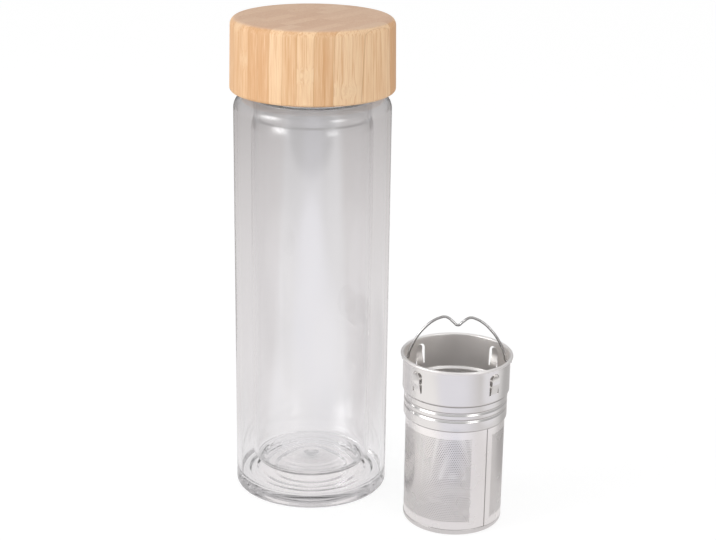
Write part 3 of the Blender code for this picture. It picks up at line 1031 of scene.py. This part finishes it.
def makeBasket():
    low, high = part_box("infuser_basket")
    radius = (high.x - low.x) / 2
    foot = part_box("infuser_base")[1].z + basket["footGap"]
    pitch, rowPitch, rows = basket["holePitch"], basket["rowPitch"], basket["rows"] + 1
    arc = math.tau + basket["lap"] - basket["outerMargin"] - basket["innerMargin"]
    columns = round(arc * radius / pitch) + 2
    holesFrom = basket["holesFrom"] * pitch
    holesTo = columns * pitch - holesFrom
    half = basket["holeSide"] / 2

    # A flat lattice, a vertex at each hole: edges are bevelled, and the vertices' faces go
    bpy.ops.mesh.primitive_grid_add(x_subdivisions=columns, y_subdivisions=rows, size=1)
    sheet = bpy.context.object
    sheet.name = sheet.data.name = "infuser_basket_sheet"
    editMode()
    pickAll()
    shiftPicked(0.5, 0.5, 0)
    size = (columns * pitch, rows * rowPitch, 1)
    bpy.ops.transform.resize(value=size, center_override=(0, 0, 0))

    def nearLattice(place):
        row = round(place.y / rowPitch)
        column = round(place.x / pitch - (row % 2) / 2)
        inside = 0 < row < rows and holesFrom < place.x < holesTo
        lattice = Vector(((column + (row % 2) / 2) * pitch, row * rowPitch))
        return inside and (place.xy - lattice).length < half

    def oddRow(place):
        return round(place.y / rowPitch) % 2 == 1 and pitch / 2 < place.x < (columns - 0.5) * pitch

    pickInEdit(sheet, "VERT", oddRow)
    shiftPicked(pitch / 2, 0, 0)
    pickAll()
    bpy.ops.mesh.quads_convert_to_tris(quad_method="SHORTEST_DIAGONAL")
    bpy.ops.mesh.select_mode(type="EDGE")
    pickAll()
    bpy.ops.mesh.region_to_loop()
    bpy.ops.mesh.select_all(action="INVERT")
    bpy.ops.mesh.bevel(offset_type="OFFSET", offset=half, segments=1, affect="EDGES")
    pickInEdit(sheet, "FACE", nearLattice)
    bpy.ops.mesh.delete(type="FACE")
    bottom, top = rowPitch / 2, (rows - 0.5) * rowPitch
    left, right = basket["trimAt"] * pitch, (columns - basket["trimAt"]) * pitch
    for place, way in (
        ((0, bottom, 0), (0, -1, 0)),
        ((0, top, 0), (0, 1, 0)),
        ((left, 0, 0), (-1, 0, 0)),
        ((right, 0, 0), (1, 0, 0)),
    ):
        pickAll()
        bpy.ops.mesh.bisect(plane_co=place, plane_no=way, clear_outer=True,
                            threshold=basket["trimTolerance"])

    # Plain margins: above, below, and in steps at the two ends that lap
    tiny = basket["edgeTolerance"]
    zero = basket["firstRow"] - rowPitch
    for edgeAt, reach in ((top, high.z - zero - top), (bottom, foot - zero - bottom)):
        pickInEdit(sheet, "EDGE", lambda place: abs(place.y - edgeAt) < tiny)
        extrudePicked(0, reach, 0)
    for edgeAt, margin in ((right, basket["outerMargin"]), (left, -basket["innerMargin"])):
        steps = round(abs(margin) * radius / pitch)
        pickInEdit(sheet, "EDGE", lambda place: abs(place.x - edgeAt) < tiny)
        for step in range(steps):
            extrudePicked(margin * radius / steps, 0, 0)
    objectMode()

    # Rolled up as a shallow spiral, so that one end laps over the other
    end = right + basket["outerMargin"] * radius
    drop = basket["sheet"] + basket["lapGap"]
    for vertex in sheet.data.vertices:
        turned = (end - vertex.co.x) / radius
        angle = basket["seam"] + turned
        reach = radius - drop * turned / math.tau
        vertex.co = (reach * math.sin(angle), -reach * math.cos(angle), vertex.co.y + zero)
    faceSheet(sheet, "out")
    # The outside steel, then its darker painted-shade copy for the inside
    sheet.data.materials.append(makeSteelFinish("perforatedSteel", basket))
    sheet.data.materials.append(makeSteelFinish("perforatedSteelShadedInside", basketShadedInside))
    thicken(sheet, basket["sheet"])
    smoothShade(sheet, 30)
    moveInto(sheet, infuserPlace)
    dress(sheet, "infuser", "satin_steel", None, "infuser_basket")


pan = {
    "steps": 180,
    "sheet": 0.00035,
    "rounding": 0.0017,
    "rimRounding": 0.00012,
    "colour": (0.79, 0.77, 0.755),
    "dulled": (0.73, 0.705, 0.69, 1),
    "roughness": 0.22,
    "dulling": 0.1,
    "lines": (900.0, 900.0, 900.0),
    "smudges": 70.0,
    "lineDepth": 0.000002,
}


def makePan():
    low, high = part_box("infuser_base")
    radius = (high.x - low.x) / 2
    inside = radius - pan["sheet"]
    piece = turnCorners("infuser_pan", pan["steps"], (
        (0, 0),
        (radius, 0, pan["rounding"]),
        (radius, high.z, pan["rimRounding"]),
        (inside, high.z, pan["rimRounding"]),
        (inside, pan["sheet"], pan["rounding"] - pan["sheet"]),
        (0, pan["sheet"]),
    ))
    smoothShade(piece, 40)
    moveInto(piece, infuserPlace)
    dress(piece, "infuser", "satin_steel", makeSteelFinish("pressedSteel", pan), "infuser_base")


handle = {
    "wireRadius": 0.00055,
    "roundSteps": 6,
    "curveSteps": 8,
    "leg": 0.02035,
    "height": 0.0189,
    "bend": 0.001,
    "tip": 0.02305,
    # From the dip in the middle to the leg, as shares of the leg's reach and of the height
    "outlineShares": (
        (0.0, 0.812), (0.095, 0.885), (0.185, 0.968), (0.265, 1.0), (0.37, 0.974),
        (0.53, 0.878), (0.685, 0.72), (0.82, 0.53), (0.93, 0.3), (0.985, 0.14),
    ),
    "colour": (0.56, 0.55, 0.54),
    "dulled": (0.48, 0.47, 0.46, 1),
    "roughness": 0.17,
    "dulling": 0.12,
    "lines": (900.0, 4000.0, 900.0),
    "smudges": 160.0,
    "lineDepth": 0.000002,
}


def makeHandle():
    leg, bend = handle["leg"], handle["bend"]
    half = [(leg * across, handle["height"] * up) for across, up in handle["outlineShares"]]
    corner = bend * (1 - math.sqrt(0.5))
    half += [(leg, bend), (leg + corner, corner), (leg + bend, 0), (handle["tip"], 0)]
    places = [(-across, up) for across, up in reversed(half[1:])] + half
    bpy.ops.curve.primitive_bezier_curve_add()
    wire = bpy.context.object
    wire.name = "infuser_wire_handle"
    curve = wire.data
    points = curve.splines[0].bezier_points
    points.add(len(places) - len(points))
    for point, (across, up) in zip(points, places):
        point.co = (across, 0, up)
        point.handle_left_type = point.handle_right_type = "AUTO"
    curve.resolution_u = handle["curveSteps"]
    curve.bevel_depth = handle["wireRadius"]
    curve.bevel_resolution = handle["roundSteps"]
    curve.use_fill_caps = True
    bpy.ops.object.convert(target="MESH")
    wire = bpy.context.object
    editMode()
    weldAll()
    smoothShade(wire, 50)
    moveInto(wire, pivot)
    dress(wire, "handle", "steel_wire", makeSteelFinish("drawnWire", handle), "infuser_handle")


print("Glass body")
makeGlassBody()
print("Bamboo lid, liner and seal")
makeBambooLid()
makeLiner()
makeSeal()
print("Infuser collar")
makeCollar()
print("Infuser basket and pan")
makeBasket()
makePan()
print("Wire handle")
makeHandle()


# Studio: pale floor, soft lamps, and the camera where the photograph was taken

white = (1, 1, 1, 1)

studio = {
    "floorSize": 12.0,
    "floorCuts": 3,
    "floorDiffuse": 0.26,
    "floorRoughness": 0.9,
    "floorGlow": 0.8,
    "floorLight": (0.62, 0.61, 0.6, 1),
    "floorDrop": 0.00005,
    # Painted light and shade that metal and glass see on the glowing floor: behind, in front, and
    # far off
    "floorBehind": (0.838, 0.828, 0.836, 1),
    "floorFront": (0.66, 0.635, 0.625, 1),
    "frontDepths": (0.03, -0.12),
    "floorFar": (0.4, 0.39, 0.39, 1),
    "farReach": (0.1, 1.2),
    # Painted pools of light and shade on it: place, inner and outer reach, colour and strength
    "floorLightAndShadeZones": (
        ((0.03, -0.24), 0.07, 0.24, (0.86, 0.85, 0.91, 1), 1.0),
        ((0.0, -0.45), 0.08, 0.22, (1.0, 0.99, 1.06, 1), 1.0),
        ((0.062, -0.135), 0.012, 0.034, (0.62, 0.64, 0.72, 1), 0.6),
        ((-0.075, -0.095), 0.05, 0.11, (0.97, 0.95, 0.95, 1), 1.0),
        ((0.0, 0.0), 0.016, 0.031, (0.9, 0.87, 0.87, 1), 1.0),
        ((0.135, 0.015), 0.02, 0.055, (0.46, 0.44, 0.44, 1), 0.75),
        ((-0.3, -0.27), 0.07, 0.2, (1.02, 1.0, 1.0, 1), 0.9),
        ((0.41, -0.11), 0.07, 0.17, (0.95, 0.94, 0.94, 1), 0.8),
        ((-0.11, 0.02), 0.02, 0.07, (0.6, 0.59, 0.59, 1), 0.5),
        ((0.24, -0.09), 0.04, 0.09, (0.92, 0.91, 0.96, 1), 0.8),
        ((0.19, 0.07), 0.04, 0.11, (0.46, 0.45, 0.45, 1), 0.85),
    ),
    # Painted shade behind the bottle: the floor is darker beside a light middle lane, and again
    # past the flask's sides: the middle, the half widths, the depths and the tone of each
    "laneFrom": (0.02, -0.684),
    "lanes": (
        (-0.0015, (0.02, 0.036), (0.08, 0.6), (0.97, 0.96, 0.95, 1)),
        (0.0, (0.021, 0.031), (0.02, 0.07), (0.91, 0.895, 0.89, 1)),
    ),
    # A patch of painted shade far behind shows in the flask: sideways place and reach, depth and
    # reach
    "patch": (-0.001, 0.022, 0.74, 0.225),
    "patchEdge": (1.15, 0.85),
    "patchShadeTone": (0.84, 0.84, 0.845, 1),
    # The sky's tone at the horizon, then the heights over which it turns to each next tone
    "skyHorizon": (0.4, 0.395, 0.4, 1),
    "skyRises": (
        (0.05, 0.35, (0.5, 0.5, 0.505, 1)),
        (0.45, 0.85, (0.92, 0.92, 0.93, 1)),
    ),
    "skyLight": (0.74, 0.74, 0.74, 1),
    # Turn and rise in degrees, distance, size and power
    "lamps": (
        ("leftBox", -62, 8, 0.95, (1.5, 0.9), 1.1),
        ("leftCore", -64, 15, 0.94, (0.8, 0.6), 2.7),
        ("rightBox", 38, 8, 0.95, (0.9, 0.7), 0.2),
        ("rightCore", 38, 13, 0.94, (0.57, 0.49), 0.97),
    ),
    "lampTarget": (0.02, 0.0, 0.16),
    "lampSoftness": 0.45,
    "lampPeak": 3.3,
    # Light crosses eight glass faces, and runs to and fro inside the steel
    "bounces": {"max": 28, "transmission": 24, "glossy": 12, "diffuse": 10},
}

view = {
    "place": (0.02003, -0.68415, 0.33021),
    "down": 18.682,
    "roll": 0.775,
    "lens": 83.44,
    "sensor": 36,
    "clipStart": 0.01,
}


def makeFloor():
    place = (0, 0, -studio["floorDrop"])
    bpy.ops.mesh.primitive_plane_add(size=studio["floorSize"], location=place)
    floor = bpy.context.object
    floor.name = "studio_floor"
    editMode()
    pickAll()
    bpy.ops.mesh.subdivide(number_cuts=studio["floorCuts"])
    objectMode()
    diffuse = (studio["floorDiffuse"],) * 3
    finish, tree, shader = newFinish("paleFloor", diffuse, studio["floorRoughness"])
    feed(tree, shader, {
        "Specular IOR Level": 0.0,
        "Emission Color": white,
        "Emission Strength": studio["floorGlow"],
    })
    # Metal and glass see the floor glow with painted light and shade, brightest in front and greyer
    # further off
    places = objectPlaces(tree)
    axes = splitAxes(tree, places)
    depth = axes["Y"]
    share = ramp(tree, depth, *studio["frontDepths"])
    colour = blend(tree, share, studio["floorBehind"], studio["floorFront"])
    far = ramp(tree, onVectors(tree, "LENGTH", places)["Value"], *studio["farReach"])
    colour = blend(tree, far, colour, studio["floorFar"])
    fromX, fromY = studio["laneFrom"]
    sideways = compute(tree, "SUBTRACT", axes["X"], fromX)
    slope = compute(tree, "DIVIDE", sideways, compute(tree, "SUBTRACT", depth, fromY))
    aside = compute(tree, "MULTIPLY_ADD", slope, -fromY, fromX)
    for middle, half, reach, tone in studio["lanes"]:
        away = compute(tree, "ABSOLUTE", compute(tree, "SUBTRACT", aside, middle))
        outside = ramp(tree, away, *half)
        share = compute(tree, "MULTIPLY", outside, ramp(tree, depth, *reach))
        colour = blend(tree, share, colour, tone, mode="MULTIPLY")
    middle, width, beyond, length = studio["patch"]
    across = compute(tree, "DIVIDE", compute(tree, "SUBTRACT", aside, middle), width)
    along = compute(tree, "DIVIDE", compute(tree, "SUBTRACT", depth, beyond), length)
    away = onVectors(tree, "LENGTH", joinAxes(tree, across, along))["Value"]
    share = ramp(tree, away, *studio["patchEdge"])
    colour = blend(tree, share, colour, studio["patchShadeTone"], mode="MULTIPLY")
    for place, inner, outer, tone, strength in studio["floorLightAndShadeZones"]:
        away = onVectors(tree, "DISTANCE", places, (*place, 0))["Value"]
        colour = blend(tree, ramp(tree, away, outer, inner, strength), colour, tone)
    # Diffuse rays see the floor glow evenly as a painted bounce light; the camera sees it white
    # with the object's shadow
    path = addNode(tree, "LightPath").outputs
    colour = blend(tree, path["Is Diffuse Ray"], colour, studio["floorLight"])
    seen = addNode(tree, "Emission", {"Color": colour})
    mixSurface(tree, path["Is Camera Ray"], seen, shader)
    floor.data.materials.append(finish)


def makeSky():
    world = bpy.data.worlds.new("studioSky")
    scene.world = world
    world.use_nodes = True
    tree = world.node_tree
    path = addNode(tree, "LightPath").outputs
    direction = addNode(tree, "TexCoord").outputs["Generated"]
    height = splitAxes(tree, direction)["Z"]
    colour = studio["skyHorizon"]
    for low, high, tone in studio["skyRises"]:
        colour = blend(tree, ramp(tree, height, low, high), colour, tone)
    colour = blend(tree, path["Is Diffuse Ray"], colour, studio["skyLight"])
    colour = blend(tree, path["Is Camera Ray"], colour, white)
    feed(tree, tree.nodes["Background"], {"Color": colour})


def makeLamps():
    target = Vector(studio["lampTarget"])
    for name, azimuth, elevation, distance, size, power in studio["lamps"]:
        turn, rise = math.radians(azimuth), math.radians(elevation)
        flat = math.cos(rise)
        away = Vector((math.sin(turn) * flat, -math.cos(turn) * flat, math.sin(rise)))
        bpy.ops.object.light_add(type="AREA", location=target + away * distance)
        lamp = bpy.context.object
        lamp.name = name
        lamp.data.shape = "RECTANGLE"
        lamp.data.size, lamp.data.size_y = size
        lamp.data.energy = power
        # The light fades towards the edges of the box, so its reflection has soft edges
        lamp.data.use_nodes = True
        tree = lamp.data.node_tree
        sides = splitAxes(tree, addNode(tree, "NewGeometry").outputs["Parametric"])
        edges = [compute(tree, "PINGPONG", sides[axis], 0.5) for axis in "XY"]
        fades = [ramp(tree, edge, 0.0, studio["lampSoftness"]) for edge in edges]
        glow = compute(tree, "MULTIPLY", compute(tree, "MULTIPLY", *fades), studio["lampPeak"])
        feed(tree, tree.nodes["Emission"], {"Strength": glow})
        lamp.rotation_euler = away.to_track_quat("Z", "Y").to_euler()


def makeCamera():
    bpy.ops.object.camera_add()
    camera = bpy.context.object
    tilt = Matrix.Rotation(math.radians(90 - view["down"]), 4, "X")
    roll = Matrix.Rotation(math.radians(view["roll"]), 4, "Z")
    camera.matrix_world = Matrix.Translation(view["place"]) @ tilt @ roll
    camera.data.lens = view["lens"]
    camera.data.sensor_width = view["sensor"]
    camera.data.clip_start = view["clipStart"]
    scene.camera = camera


print("Studio")
makeFloor()
makeSky()
makeLamps()
makeCamera()
scene.view_settings.view_transform = "Standard"
for kind, count in studio["bounces"].items():
    setattr(scene.cycles, kind + "_bounces", count)
